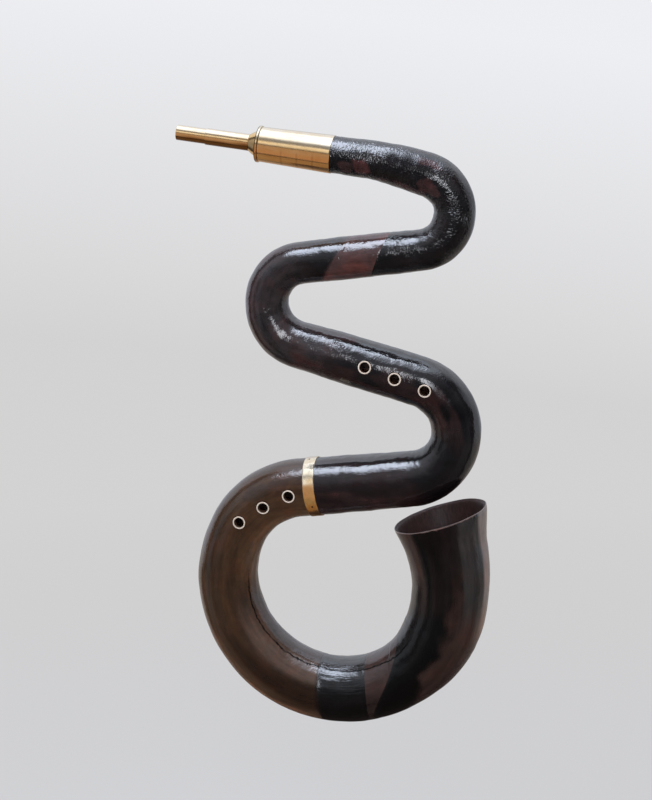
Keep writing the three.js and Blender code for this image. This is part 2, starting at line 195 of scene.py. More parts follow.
def bore_radius(station):
    return wood_radius(station) - (9.5 + (3.2 - 9.5) * np.asarray(station) / LENGTH)


def raw_points(station, angle, radius):
    x, z, heading = line_at(station)
    side = np.cos(angle) * radius
    return np.stack(
        [x - np.sin(heading) * side, radius * np.sin(angle), z + np.cos(heading) * side],
        axis=-1,
    )


PEG = raw_points(place("first_bend", 0), np.array([math.pi]), cover_radius(place("first_bend", 0)))[0]


def tube_points(station, angle, radius):
    """Points on the tube in metres, in the part's frame. Angle 0 is on the line's left."""
    return (raw_points(station, angle, radius) - PEG) * MM


# Mesh making
def ease(value, low, high):
    t = np.clip((value - low) / (high - low), 0, 1)
    return t * t * (3 - 2 * t)


def ripple(points, seed, shortest, longest, count=28):
    """Smooth uneven waves of about unit height over points in millimetres."""
    rng = np.random.default_rng(seed)
    ways = rng.normal(size=(count, 3))
    ways /= np.linalg.norm(ways, axis=1, keepdims=True)
    lengths = shortest * (longest / shortest) ** rng.random(count)
    phases = rng.random(count) * 2 * math.pi
    waves = points @ (ways / lengths[:, None] * 2 * math.pi).T + phases
    return np.sin(waves).sum(axis=1) / math.sqrt(count / 2)


def unrolled(station, angle, radius):
    """The tube pulled straight along x, for patterns that follow it."""
    return np.stack([station, radius * np.cos(angle), radius * np.sin(angle)], axis=-1)


def make_mesh(name, points, faces, body, sharp=35):
    points = np.asarray(points, float)
    mesh = bpy.data.meshes.new(name)
    mesh.from_pydata(points.tolist(), [], faces)
    mesh.update()
    volume = 0.0
    for polygon in mesh.polygons:
        volume += polygon.area * polygon.center.dot(polygon.normal)
    if volume < 0:
        mesh.flip_normals()
    mesh.polygons.foreach_set("use_smooth", [True] * len(mesh.polygons))
    mesh.set_sharp_from_angle(angle=math.radians(sharp))
    piece = bpy.data.objects.new(name, mesh)
    bpy.context.scene.collection.objects.link(piece)
    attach(piece, body)
    return piece


def grid_faces(rows, count, offset=0, closed=True, flip=False):
    faces = []
    for row in range(rows - 1):
        for k in range(count if closed else count - 1):
            a = offset + row * count + k
            b = offset + row * count + (k + 1) % count
            quad = (a, b, b + count, a + count)
            faces.append(quad[::-1] if flip else quad)
    return faces


def ring_stations(start, end, step, edges=(0.35, 0.9, 1.8, 3.2)):
    inner = np.linspace(start + edges[-1], end - edges[-1], max(2, round((end - start) / step)))
    near = [start, *(start + e for e in edges[:-1])]
    far = [*(end - e for e in edges[:-1][::-1]), end]
    return np.array([*near, *inner, *far])


def slanted(ends, stations, angles, reach=cover_radius):
    """Stations and angles of cuts that lean from the slant of one end to that of the other."""
    (start, start_slant), (end, end_slant) = ends
    share = (stations - start) / (end - start)
    slope = math.tan(math.radians(start_slant)) * (1 - share)
    slope = slope + math.tan(math.radians(end_slant)) * share
    s, a = np.meshgrid(stations, angles, indexing="ij")
    edge = np.minimum(s - start, end - s)
    return (s + slope[:, None] * reach(s) * np.cos(a)).ravel(), a.ravel(), edge.ravel()


def rim_waver(angle):
    """How the bell's worn rim strays from its plane, in millimetres."""
    chip = np.exp(-(((angle - 0.7) / 0.12) ** 2))
    return 0.25 * np.sin(3 * angle + 1) + 0.2 * np.sin(7 * angle) + 0.35 * chip


def past(seam_and_reflection_line, station, angle):
    """How far a place lies beyond a slanted seam."""
    at, slant = seam_and_reflection_line
    return station - at - math.tan(math.radians(slant)) * cover_radius(at) * np.cos(angle)


def sleeve(name, body, ends, outer, inner, sides=128, step=2.2, waver=0):
    """A closed sleeve round the tube. ends holds two (station, slant in degrees)."""
    start, end = ends[0][0], ends[1][0]
    angles = np.arange(sides) * 2 * math.pi / sides

    def loops(stations, radius_at):
        s, a, edge = slanted(ends, stations, angles)
        to_rim = end - np.repeat(stations, sides)
        s = s + waver * rim_waver((a + math.pi) % math.tau - math.pi) * ease(-to_rim, -6, 0)
        return tube_points(s, a, radius_at(s, a, edge))

    stations = ring_stations(start, end, step)
    coarse = np.linspace(start, end, max(3, round((end - start) / 10)))
    points = np.concatenate([loops(stations, outer), loops(coarse, inner)])
    first = len(stations) * sides
    faces = grid_faces(len(stations), sides)
    faces += grid_faces(len(coarse), sides, first, flip=True)
    for k in range(sides):
        n = (k + 1) % sides
        faces.append((n, k, first + k, first + n))
        a, b = (len(stations) - 1) * sides, first + (len(coarse) - 1) * sides
        faces.append((a + k, a + n, b + n, b + k))
    return make_mesh(name, points, faces, body)


def half(name, body, ends, side, lip=0, sides=64, step=4):
    """Half of the wooden tube, closed, with a hairline left between the two halves.

    lip is how far the bore widens into a thin edge at the far end, which is then sawn flat."""
    stations = ring_stations(ends[0][0], ends[1][0], step)
    angles = side * math.pi * np.arange(sides + 1) / sides

    def arc(radius_at, widening):
        s, a, edge = slanted(ends, stations, angles, radius_at if lip else cover_radius)
        to_rim = ends[1][0] - np.repeat(stations, sides + 1)
        radius = radius_at(s) + widening * np.exp(-((to_rim / 1.6) ** 2))
        s = s + rim_waver(a) * bool(lip) * ease(-to_rim, -6, 0)
        arcs = tube_points(s, a, radius).reshape(len(stations), sides + 1, 3)
        arcs[:, [0, -1], 1] = side * 0.05 * MM
        return arcs

    loop = np.concatenate([arc(wood_radius, 0), arc(bore_radius, lip)[:, ::-1]], axis=1)
    count = 2 * (sides + 1)
    faces = grid_faces(len(stations), count, flip=side < 0)
    last = (len(stations) - 1) * count
    for k in range(sides):
        strip = (k, k + 1, count - 2 - k, count - 1 - k)
        faces.append(strip if side < 0 else strip[::-1])
        faces.append(tuple(last + i for i in (strip[::-1] if side < 0 else strip)))
    return make_mesh(name, loop.reshape(-1, 3), faces, body)


def rounded(corners, steps=4):
    """A closed profile of (radius, distance, rounding) with its corners rounded off."""
    profile = []
    count = len(corners)
    for i, (r, d, size) in enumerate(corners):
        here = Vector((r, d))
        if not size:
            profile.append(here)
            continue
        before = Vector(corners[i - 1][:2]) - here
        after = Vector(corners[(i + 1) % count][:2]) - here
        one = here + before.normalized() * min(size, before.length * 0.5)
        two = here + after.normalized() * min(size, after.length * 0.5)
        for k in range(steps + 1):
            t = k / steps
            profile.append(one * (1 - t) ** 2 + here * 2 * t * (1 - t) + two * t * t)
    return [tuple(point) for point in profile]


def ring_profile(inner, outer, start, end, roundings, steps=4):
    """The closed profile of a ring, with a rounding for each of its corners."""
    corners = zip((inner, outer, outer, inner), (start, start, end, end), roundings)
    return rounded(list(corners), steps)


def lathe(name, body, profile, origin, axis, sides=96, shape=None, sharp=35):
    """A closed profile turned round an axis. shape may move (radius, distance, angle)."""
    axis = Vector(axis).normalized()
    across = axis.cross(Vector((0, 1, 0)))
    if across.length < 0.1:
        across = axis.cross(Vector((1, 0, 0)))
    across.normalize()
    other = np.array(axis.cross(across))
    across, axis = np.array(across), np.array(axis)
    angles = np.arange(sides) * 2 * math.pi / sides
    points = []
    for r, d in profile:
        radius, distance = np.full(sides, float(r)), np.full(sides, float(d))
        if shape:
            radius, distance = shape(radius, distance, angles)
        ring = np.outer(radius * np.cos(angles), across) + np.outer(radius * np.sin(angles), other)
        points.append(np.array(origin) + (ring + np.outer(distance, axis)) * MM)
    faces = grid_faces(len(profile), sides)
    last = (len(profile) - 1) * sides
    for k in range(sides):
        n = (k + 1) % sides
        faces.append((last + k, last + n, n, k))
    return make_mesh(name, np.concatenate(points), faces, body, sharp)


# Node helpers
def put(tree, kind, values=(), **settings):
    """Adds a shader node. values maps input names or numbers to constants or sockets."""
    node = tree.nodes.new("ShaderNode" + kind)
    for key, value in settings.items():
        setattr(node, key, value)
    for key, value in dict(values).items():
        if isinstance(value, bpy.types.NodeSocket):
            tree.links.new(value, node.inputs[key])
        else:
            node.inputs[key].default_value = value
    return node


def new_material(name):
    material = bpy.data.materials.new(name)
    material.use_nodes = True
    tree = material.node_tree
    tree.nodes.clear()
    shader = put(tree, "BsdfPrincipled")
    output = put(tree, "OutputMaterial")
    tree.links.new(shader.outputs[0], output.inputs[0])
    return material, tree, shader


def stretched(tree, vector, scale):
    return put(tree, "Mapping", {"Vector": vector, "Scale": scale}).outputs[0]


def noise(tree, vector, scale, detail=3, rough=0.55, twist=0.0):
    values = {"Vector": vector, "Scale": scale, "Detail": detail}
    values.update({"Roughness": rough, "Distortion": twist})
    return put(tree, "TexNoise", values).outputs["Fac"]


def remap(tree, value, low, high, to_low, to_high):
    values = {0: value, 1: low, 2: high, 3: to_low, 4: to_high}
    return put(tree, "MapRange", values).outputs[0]


def maths(tree, operation, one, two):
    return put(tree, "Math", {0: one, 1: two}, operation=operation).outputs[0]


def vector_maths(tree, operation, one, two, output="Vector"):
    return put(tree, "VectorMath", {0: one, 1: two}, operation=operation).outputs[output]


def blend(tree, factor, one, two, kind="MIX"):
    values = {0: factor, 6: one, 7: two}
    return put(tree, "Mix", values, data_type="RGBA", blend_type=kind).outputs[2]


def bump(tree, height, distance, strength=1.0, normal=None):
    values = {"Height": height, "Distance": distance, "Strength": strength}
    if normal:
        values["Normal"] = normal
    return put(tree, "Bump", values).outputs[0]


def join(tree, shader, **sockets):
    """Links sockets to the shader's inputs, with _ for a space in a name."""
    for name, socket in sockets.items():
        tree.links.new(socket, shader.inputs[name.replace("_", " ")])


def steady(shader, **values):
    """Sets inputs that are the same all over the surface."""
    for name, value in values.items():
        shader.inputs[name.replace("_", " ")].default_value = value


def own_space(tree):
    return put(tree, "TexCoord").outputs["Object"]


def of_mesh(tree, name, output="Vector"):
    return put(tree, "Attribute", attribute_name=name).outputs[output]


def rgb(red, green, blue):
    return (red, green, blue, 1.0)


# Materials
def spot_mask(tree, along, spots):
    """1 at the middle of each spot and 0 beyond its reach. spots hold (place, reach)."""
    mask = 0.0
    for centre, reach in spots:
        away = vector_maths(tree, "DISTANCE", along, centre, "Value")
        near = remap(tree, away, reach * 0.35, reach, 1, 0)
        mask = maths(tree, "MAXIMUM", near, mask)
    return mask


def ramp(tree, value, stops):
    """A colour ramp. stops hold (place from 0 to 1, level)."""
    node = put(tree, "ValToRGB", {0: value})
    elements = node.color_ramp.elements
    while len(elements) < len(stops):
        elements.new(1.0)
    for element, (position, level) in zip(elements, stops):
        element.position = position
        element.color = rgb(level, level, level)
    return node.outputs["Color"]


def dark_reflection_mask(tree, along, seam_and_reflection_line, half_width=1.6):
    """1 along a crooked painted dark reflection line and 0 beside it. Its points hold (station, angle in
    degrees) in order.
    """
    part = put(tree, "SeparateXYZ", {0: along}).outputs
    stations = [station for station, _ in seam_and_reflection_line]
    share = remap(tree, part["X"], stations[0] * MM, stations[-1] * MM, 0, 1)
    span = stations[-1] - stations[0]
    stops = [((station - stations[0]) / span, angle / 360 + 0.5) for station, angle in seam_and_reflection_line]
    level = ramp(tree, share, stops)
    wanted = remap(tree, level, 0, 1, -math.pi, math.pi)
    turn = maths(tree, "ARCTAN2", part["Z"], part["Y"])
    crooked = remap(tree, noise(tree, along, 90, 4, 0.6), 0.3, 0.7, -0.03, 0.03)
    off = maths(tree, "ABSOLUTE", maths(tree, "ADD", maths(tree, "SUBTRACT", turn, wanted), crooked), 0.0)
    reach = half_width / 42
    line = remap(tree, off, reach * 0.35, reach, 1, 0)
    ends = maths(tree, "MULTIPLY", remap(tree, share, 0, 0.08, 0, 1), remap(tree, share, 0.93, 1, 1, 0))
    broken = remap(tree, noise(tree, along, 60, 3), 0.3, 0.5, 0.45, 1)
    return maths(tree, "MULTIPLY", maths(tree, "MULTIPLY", line, ends), broken)


def leather_material(
    name, crinkle, lumps, dull, varnish=1.8, patchy=1.0, cracks=(), dents=(), seam_and_reflection_line=(), brushed=0.0, worn=()
):
    """Varnished leather. Its base colour comes from the mesh: the hide's own patches, and on the lower pieces
    also painted reflections.
    """
    material, tree, shader = new_material(name)
    along, tone = of_mesh(tree, "straight"), of_mesh(tree, "tone", "Color")
    mottle = noise(tree, along, 60, 5, 0.6)
    streak = noise(tree, stretched(tree, along, (0.15, 1, 1)), 170, 4)
    cloudy = remap(tree, mottle, 0.3, 0.7, 1 - 0.3 * patchy, 1 + 0.35 * patchy)
    shade = maths(tree, "MULTIPLY", cloudy, remap(tree, streak, 0.3, 0.7, 0.8, 1.25))
    colour = blend(tree, 1.0, tone, shade, "MULTIPLY")
    warmth = remap(tree, noise(tree, along, 33, 4, 0.6), 0.45, 0.7, 0, 0.8 * patchy)
    colour = blend(tree, warmth, colour, blend(tree, 1.0, colour, rgb(2.1, 1.15, 0.95), "MULTIPLY"))
    scuff = remap(tree, noise(tree, along, 150, 7, 0.75), 0.67, 0.8, 0, 0.35)
    colour = blend(tree, scuff, colour, rgb(0.06, 0.045, 0.04))
    lost = spot_mask(tree, along, worn)
    # A painted dark reflection line, with the varnish dulled along it
    if seam_and_reflection_line:
        line = dark_reflection_mask(tree, along, seam_and_reflection_line)
        colour = blend(tree, line, colour, rgb(0.0015, 0.001, 0.001))
        lost = maths(tree, "MAXIMUM", line, lost)
    if seam_and_reflection_line or worn:
        join(tree, shader, Coat_Weight=remap(tree, lost, 0, 1, 1, 0.1))
    steady(shader, Specular_IOR_Level=0.1, Coat_Weight=1.0, Coat_IOR=varnish, Coat_Roughness=dull)
    soft = noise(tree, along, 110, 1, 0.5)
    wrinkle = noise(tree, stretched(tree, along, (1.5, 0.8, 0.8)), 230, 1.5, 0.5, 0.4)
    crease = maths(tree, "ABSOLUTE", maths(tree, "SUBTRACT", wrinkle, 0.5), 0.0)
    uneven = remap(tree, noise(tree, along, 45, 2), 0.35, 0.65, 0.3, 1.0)
    grain = noise(tree, along, 430, 1, 0.5)
    normal = bump(tree, grain, 0.00016)
    normal = bump(tree, soft, 0.0003 * lumps, 1.0, normal)
    if brushed:
        strokes = noise(tree, stretched(tree, along, (0.1, 1, 1)), 330, 3)
        normal = bump(tree, strokes, 0.0004 * brushed, 1.0, normal)
    normal = bump(tree, maths(tree, "MULTIPLY", crease, uneven), 0.0004 * crinkle, 1.0, normal)
    if cracks:
        cells = {"Vector": along, "Scale": 330, "Randomness": 1.0}
        edges = put(tree, "TexVoronoi", cells, feature="DISTANCE_TO_EDGE").outputs["Distance"]
        grooves = remap(tree, edges, 0, 0.16, -1, 0)
        height = maths(tree, "MULTIPLY", grooves, spot_mask(tree, along, cracks))
        normal = bump(tree, height, 0.0004, 1.0, normal)
    if dents:
        drift = put(tree, "TexNoise", {"Vector": along, "Scale": 300.0}).outputs["Color"]
        moved = vector_maths(tree, "MULTIPLY", drift, (0.003, 0.003, 0.003))
        dented = spot_mask(tree, vector_maths(tree, "ADD", along, moved), dents)
        normal = bump(tree, dented, -0.0009, 1.0, normal)
    rough = remap(tree, mottle, 0.3, 0.7, 0.42, 0.6)
    join(tree, shader, Base_Color=colour, Roughness=rough, Normal=normal, Coat_Normal=normal)
    return material


def brass_material(name, stretch, dull):
    """Polished brass. The mesh's own tone multiplies it: painted light and shade on most pieces, and tarnish
    on the pins.
    """
    material, tree, shader = new_material(name)
    along, tone = of_mesh(tree, "straight"), of_mesh(tree, "tone", "Color")
    stain = noise(tree, along, 50, 6, 0.65, 0.3)
    lines = noise(tree, stretched(tree, along, stretch), 700, 3, 0.6)
    gold = blend(tree, remap(tree, stain, 0.35, 0.7, 0, 1), rgb(1.0, 0.96, 0.9), rgb(0.93, 0.82, 0.66))
    gold = blend(tree, remap(tree, lines, 0.56, 0.72, 0, 0.35), gold, rgb(0.6, 0.4, 0.22))
    gold = blend(tree, 1.0, gold, tone, "MULTIPLY")
    steady(shader, Metallic=1.0)
    rough = remap(tree, stain, 0.3, 0.75, dull * 0.75, dull * 1.35)
    normal = bump(tree, noise(tree, along, 90, 2), 0.00008, 1.0, bump(tree, lines, 0.00002))
    join(tree, shader, Base_Color=gold, Roughness=rough, Normal=normal)
    return material


def wood_material(name, light, dark):
    """Varnished walnut with its grain along the tube."""
    material, tree, shader = new_material(name)
    along = of_mesh(tree, "straight")
    grain = noise(tree, stretched(tree, along, (0.08, 1, 1)), 420, 6, 0.65, 0.5)
    colour = blend(tree, remap(tree, grain, 0.35, 0.68, 0, 1), light, dark)
    colour = blend(tree, remap(tree, noise(tree, along, 25, 3), 0.4, 0.7, 0, 0.6), colour, dark)
    steady(shader, Coat_Weight=0.15, Coat_Roughness=0.35)
    rough = remap(tree, grain, 0.3, 0.7, 0.5, 0.7)
    join(tree, shader, Base_Color=colour, Roughness=rough, Normal=bump(tree, grain, 0.00006))
    return material


def grained_material(name, scale, detail, low, one, two, rough, stretch=(1, 1, 1)):
    """One pattern in the part's own space: bare wood under the leather, or waxed linen thread."""
    material, tree, shader = new_material(name)
    grain = noise(tree, stretched(tree, own_space(tree), stretch), scale, detail)
    colour = blend(tree, remap(tree, grain, low, 0.7, 0, 1), rgb(*one), rgb(*two))
    rough = remap(tree, grain, 0.3, 0.7, *rough)
    join(tree, shader, Base_Color=colour, Roughness=rough, Normal=bump(tree, grain, 0.0002))
    return material


def bone_material(name):
    """Cream bone, darkened by the tone of the mesh: painted shade down the holes."""
    material, tree, shader = new_material(name)
    space = own_space(tree)
    cloud, pores = noise(tree, space, 320, 4), noise(tree, space, 1800, 2)
    cream = remap(tree, cloud, 0.35, 0.7, 0, 1)
    colour = blend(tree, cream, rgb(0.86, 0.75, 0.64), rgb(0.7, 0.54, 0.42))
    colour = blend(tree, remap(tree, pores, 0.62, 0.75, 0, 0.6), colour, rgb(0.3, 0.2, 0.13))
    colour = blend(tree, 1.0, colour, of_mesh(tree, "tone", "Color"), "MULTIPLY")
    rough = remap(tree, cloud, 0.3, 0.7, 0.3, 0.5)
    join(tree, shader, Base_Color=colour, Roughness=rough, Normal=bump(tree, pores, 0.00005))
    return material


def on_skin(station, angle, reach):
    """A spot of the straightened skin: where it lies, and how far it reaches, in metres."""
    angle = np.array([math.radians(angle)])
    station = np.array([float(station)])
    spot = unrolled(station, angle, cover_radius(station))[0] * MM
    return tuple(float(value) for value in spot), reach * MM


BRASS = brass_material("brass_brushed", (0.04, 1, 1), 0.17)
BAND_BRASS = brass_material("brass_band", (1, 0.3, 0.3), 0.24)
PIN_BRASS = brass_material("brass_tarnished", (1, 1, 1), 0.4)
HORN_WOOD = wood_material("walnut_varnished", rgb(0.085, 0.036, 0.03), rgb(0.03, 0.012, 0.011))
BARE = (0.16, 0.075, 0.045), (0.06, 0.028, 0.018)
LINEN = (0.5, 0.4, 0.26), (0.25, 0.18, 0.1)
HIDDEN_WOOD = grained_material("walnut_bare", 300, 5, 0.35, *BARE, (0.45, 0.7), (0.3, 1, 1))
BONE = bone_material("bone_cream")
THREAD = grained_material("thread_waxed", 900, 4, 0.3, *LINEN, (0.7, 0.95))


def marks(*rows):
    return [on_skin(*row) for row in rows]


# Painted dark reflection lines on the hide, where its varnish is also dulled: station and angle in degrees
RUN_DARK_REFLECTION = [(955, -132), (976, -136), (1033, -147), (1061, -147), (1114, -151), (1150, -149), (1165, -149)]
INNER_DARK_REFLECTION = [(1340, -33), (1480, -34), (1585, -34), (1622, -37), (1690, -42), (1735, -49), (1790, -52)]
NECK_LEATHER = leather_material(
    "leather_neck",
    4.5,
    1.2,
    0.06,
    cracks=marks((280, -78, 13), (291, -50, 9), (330, -40, 12)),
    worn=marks((178, -66, 17), (197, -65, 20), (218, -62, 20)),
)
MIDDLE_LEATHER = leather_material(
    "leather_middle",
    1.0,
    1.0,
    0.08,
    patchy=0.8,
    cracks=marks((735, -51, 8), (728, -40, 6)),
    dents=marks((607, -76, 3.4), (603, -80, 2.4)),
    seam_and_reflection_line=RUN_DARK_REFLECTION,
    brushed=0.25,
    worn=marks((878, -72, 24), (905, -68, 22)),
)
WRAP_LEATHER = leather_material("leather_wrap", 0.6, 0.8, 0.16, seam_and_reflection_line=INNER_DARK_REFLECTION, brushed=1.3)
LOWER_LEATHER = leather_material(
    "leather_lower",
    0.4,
    0.8,
    0.14,
    varnish=1.66,
    patchy=0.35,
    dents=marks((1202, -136, 3.6), (1198, -134, 3.0)),
    seam_and_reflection_line=INNER_DARK_REFLECTION,
    brushed=0.35,
)


# Dressing
TRACK = np.arange(0, LENGTH, 0.5)
TRACK_X, TRACK_Z, TRACK_HEADING = line_at(TRACK)


def on_tube(points, low, high):
    """Station, angle and radius in millimetres of points near a stretch of the tube."""
    raw = points / MM + PEG
    stretch = (TRACK >= low - 5) & (TRACK <= high + 5)
    xs, zs, hs = TRACK_X[stretch], TRACK_Z[stretch], TRACK_HEADING[stretch]
    nearest = np.empty(len(raw), int)
    for first in range(0, len(raw), 4000):
        chunk = raw[first : first + 4000]
        gap = (chunk[:, None, 0] - xs) ** 2 + (chunk[:, None, 2] - zs) ** 2
        nearest[first : first + 4000] = gap.argmin(axis=1)
    dx, dz = raw[:, 0] - xs[nearest], raw[:, 2] - zs[nearest]
    h = hs[nearest]
    station = TRACK[stretch][nearest] + dx * np.cos(h) + dz * np.sin(h)
    left = -dx * np.sin(h) + dz * np.cos(h)
    return station, np.arctan2(raw[:, 1], left), np.hypot(left, raw[:, 1])


def paint(mesh, colours):
    values = mesh.color_attributes.new("tone", "FLOAT_COLOR", "POINT")
    values.data.foreach_set("color", np.c_[colours, np.ones(len(colours))].ravel())


def mesh_points(mesh):
    points = np.empty(len(mesh.vertices) * 3)
    mesh.vertices.foreach_get("co", points)
    return points.reshape(-1, 3)


def dress(piece, material, low, high, tone=None):
    """Gives a piece its material and the mesh values that the material reads."""
    mesh = piece.data
    mesh.materials.clear()
    mesh.materials.append(material)
    station, angle, radius = on_tube(mesh_points(mesh), low, high)
    straight = unrolled(station, angle, radius) * MM
    mesh.attributes.new("straight", "FLOAT_VECTOR", "POINT").data.foreach_set("vector", straight.ravel())
    if tone:
        paint(mesh, tone(station, angle, radius))
    return piece


def drill(piece, origin, axis, radius, deep, out):
    """Cuts a round hole into a piece, and leaves no modifier on it."""
    profile = [(0.0001, -deep), (radius, -deep), (radius, out), (0.0001, out)]
    cutter = lathe("cutter", "horn", profile, origin, axis, 64)
    change = piece.modifiers.new("hole", "BOOLEAN")
    change.operation = "DIFFERENCE"
    change.solver = "EXACT"
    change.object = cutter
    bpy.context.view_layer.update()
    shown = piece.evaluated_get(bpy.context.evaluated_depsgraph_get())
    mesh = bpy.data.meshes.new_from_object(shown)
    piece.modifiers.clear()
    old, piece.data = piece.data, mesh
    name = old.name
    bpy.data.meshes.remove(old)
    mesh.name = name
    bpy.data.objects.remove(cutter)


def finish_as(node):
    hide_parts(node)


# Finger holes: station and lean in degrees from the very front
HOLE_RADIUS, BUSH_RADIUS, BUSH_PROUD, BUSH_DEPTH = 6.9, 8.8, 1.0, 5.2


def hole_row(middle, spacing, leans):
    return [(middle + spacing * (i - 1), math.radians(lean - 90)) for i, lean in enumerate(leans)]


UPPER_HOLES = hole_row(place("third_run", 0) + 140, 42, (10, 4, 1.5))
LOWER_HOLES = hole_row(place("shoulder", 0) + 48, 40.5, (0, 5.5, -2.5))


def hole_frame(hole):
    station, angle = hole
    foot = tube_points(station, np.array([angle]), cover_radius(station))[0]
    centre = tube_points(station, np.array([angle]), 0.001)[0]
    return foot, Vector(foot - centre).normalized()


# Leather tones, as linear colours
BLACK = np.array([0.0045, 0.0037, 0.0046])
SOOT = np.array([0.0022, 0.002, 0.0023])
WINE = np.array([0.045, 0.017, 0.017])
RUST = np.array([0.068, 0.033, 0.031])
BROWN = np.array([0.056, 0.0265, 0.0115])
DEEP_BROWN = np.array([0.026, 0.0095, 0.0035])
EARTH = np.array([0.095, 0.05, 0.026])
GREY_BROWN = np.array([0.029, 0.022, 0.023])
DARK_RED = np.array([0.02, 0.0095, 0.0095])
UMBER = np.array([0.0075, 0.0038, 0.0035])
STRIPE = np.array([0.047, 0.026, 0.022])
TAN = np.array([0.044, 0.0225, 0.0165])
# Painted reflections on the bell
BELL_GREY_REFLECTION = np.array([0.036, 0.033, 0.033])
BELL_EDGE_HIGH_REFLECTION = np.array([0.19, 0.15, 0.14])
BELL_EDGE_LOW_REFLECTION = np.array([0.24, 0.14, 0.1])
BELL_INNER_REFLECTION = np.array([0.06, 0.034, 0.025])
WORN_RIM = np.array([0.2, 0.13, 0.115])

# Blotches: station, angle in degrees, reach along, reach round, tone, strength
BLOTCHES = [
    (119, -112, 9, 22, WINE, 0.8),
    (139, -112, 11, 24, WINE, 0.95),
    (221, -48, 12, 12, WINE, 0.6),
    (228, -108, 12, 20, WINE, 0.7),
    (246, -108, 9, 18, WINE, 0.8),
    (205, -140, 30, 14, WINE, 0.45),
    (425, -158, 30, 9, WINE, 0.6),
    (725, -20, 26, 12, WINE, 0.5),
    (1215, -118, 40, 14, UMBER, 0.35),
]


def mix(one, two, weight):
    weight = np.asarray(weight)[:, None]
    return one * (1 - weight) + two * weight


def layered(colour, *layers):
    """Lays tones over a colour. Each layer is a tone and its weight."""
    for tone, weight in layers:
        colour = mix(colour, tone, weight)
    return colour


def turned_from(middle, angle):
    """Degrees round the tube from a middle, from -180 to 180."""
    return np.degrees(np.angle(np.exp(1j * (angle - middle))))


def blotched(base, seed, streaks=0.18):
    def tone(*at):
        station, angle, _ = at
        u = unrolled(*at)
        warp = ripple(u, seed, 9, 30)
        lift = ripple(u * [0.12, 1, 1], seed + 1, 9, 60)
        colour = base * np.exp(streaks * lift)[:, None]
        for s, a, along, round_, other, strength in BLOTCHES:
            turn = turned_from(math.radians(a), angle)
            off = np.hypot((station - s) / along, turn / round_) + 0.22 * warp
            colour = mix(colour, other, strength * (1 - ease(off, 0.8, 1.15)))
        return np.clip(colour, 0.001, 1)

    return tone


def middle_tone(*at):
    """Red of the patch, then grey and brown round the bend, and near black with dull reds after it."""
    station, angle, _ = at
    waver = ripple(unrolled(*at) * [0.5, 1, 1], 94, 14, 50)
    bend = ease(station, 490, 560) * ease(-station, -760, -690)
    bent = mix(GREY_BROWN, DARK_RED * 1.7, ease(-np.cos(angle) + 0.2 * waver, 0.2, 0.75))
    under = ease(np.cos(angle + math.radians(112)) + 0.25 * waver, 0.55, 1.0)
    after = ease(station, 1010, 1040)
    low = ease(np.cos(angle) + 0.15 * waver, -0.2, 0.5) * after
    plain = layered(
        blotched(BLACK, 62)(*at),
        (bent, np.clip(bend * (0.95 + 0.25 * waver), 0, 1)),
        (DARK_RED, under * ease(station, 690, 760) * ease(-station, -960, -920)),
        (DARK_RED * 1.35, low),
        (DARK_RED * 0.7, 0.7 * (1 - low) * after),
    )
    return mix(RUST, plain, ease(past(SEAMS["patch_end"], station, angle), -1, 7))


def shoulder_tone(*at):
    """Brown above, with painted reflections: paler and bluer towards the lower front by the band, and round
    the loop a paler earthen outer side and a grey-blue inner side, with a dark crest.
    """
    station, angle, _ = at
    degrees = turned_from(FRONT, angle) + 4 * ripple(unrolled(*at) * [0.2, 1, 1], 91, 12, 50)
    near_band = ease(-station, -1400, -1300)
    loop = ease(station, 1370, 1470)
    crest = np.exp(-((degrees / 22) ** 2)) * ease(station, 1400, 1500)
    return layered(
        blotched(BROWN, 63)(*at),
        # Painted reflection: paler, bluer brown near the band
        (BROWN * [1.75, 1.75, 1.85], near_band * ease(degrees, 0, 30)),
        (BROWN * [2.6, 2.9, 3.2], near_band * ease(degrees, 30, 60)),
        # Painted reflections round the loop: paler earth outside, grey-blue inside
        (EARTH * 1.3, loop * ease(-degrees, 18, 50)),
        (EARTH * [2.5, 2.3, 2.2], loop * ease(-degrees, 38, 62)),
        (BROWN * [2.2, 2.8, 4.6], loop * ease(degrees, 10, 35)),
        (BROWN * [0.8, 1.0, 1.8], loop * ease(degrees, 50, 75)),
        (DEEP_BROWN, crest * 0.9),
        (SOOT, past_wrap(station, angle)),
    )


def past_wrap(station, angle):
    """0 in the brown before the black wrap, and 1 in the wrap."""
    return ease(station - 1589 + 10 * np.cos(angle), -6, 5)


def past_stripe(station, angle):
    """0 in the red stripe and 1 in the black after it."""
    lean = np.cos(angle)
    return ease(station - 1683.5 - 52 * lean - 21 * lean**2, -2, 2)


def wrap_tone(*at):
    return mix(DEEP_BROWN, blotched(SOOT, 64)(*at), past_wrap(*at[:2]))


def stripe_red(*at):
    red = blotched(STRIPE, 65)(*at)
    return mix(red, red * 0.5, ease(-np.degrees(at[1]), 80, 105))


def stripe_tone(*at):
    return mix(stripe_red(*at), SOOT, past_stripe(*at[:2]))


def upper_black(*at):
    """The black of the corner's upper side, which dies away into dark brown up the bell."""
    u = unrolled(*at)
    waver = ripple(u * [0.4, 1, 1], 92, 10, 40)
    red = ease(ripple(u * [0.04, 1, 1], 93, 18, 60), 0.3, 1.4)
    brown = mix(blotched(UMBER, 67, 0.4)(*at), WINE * 0.45, 0.6 * red)
    return mix(SOOT * 0.6, brown, ease(at[0] + 14 * waver, 1800, 1890))


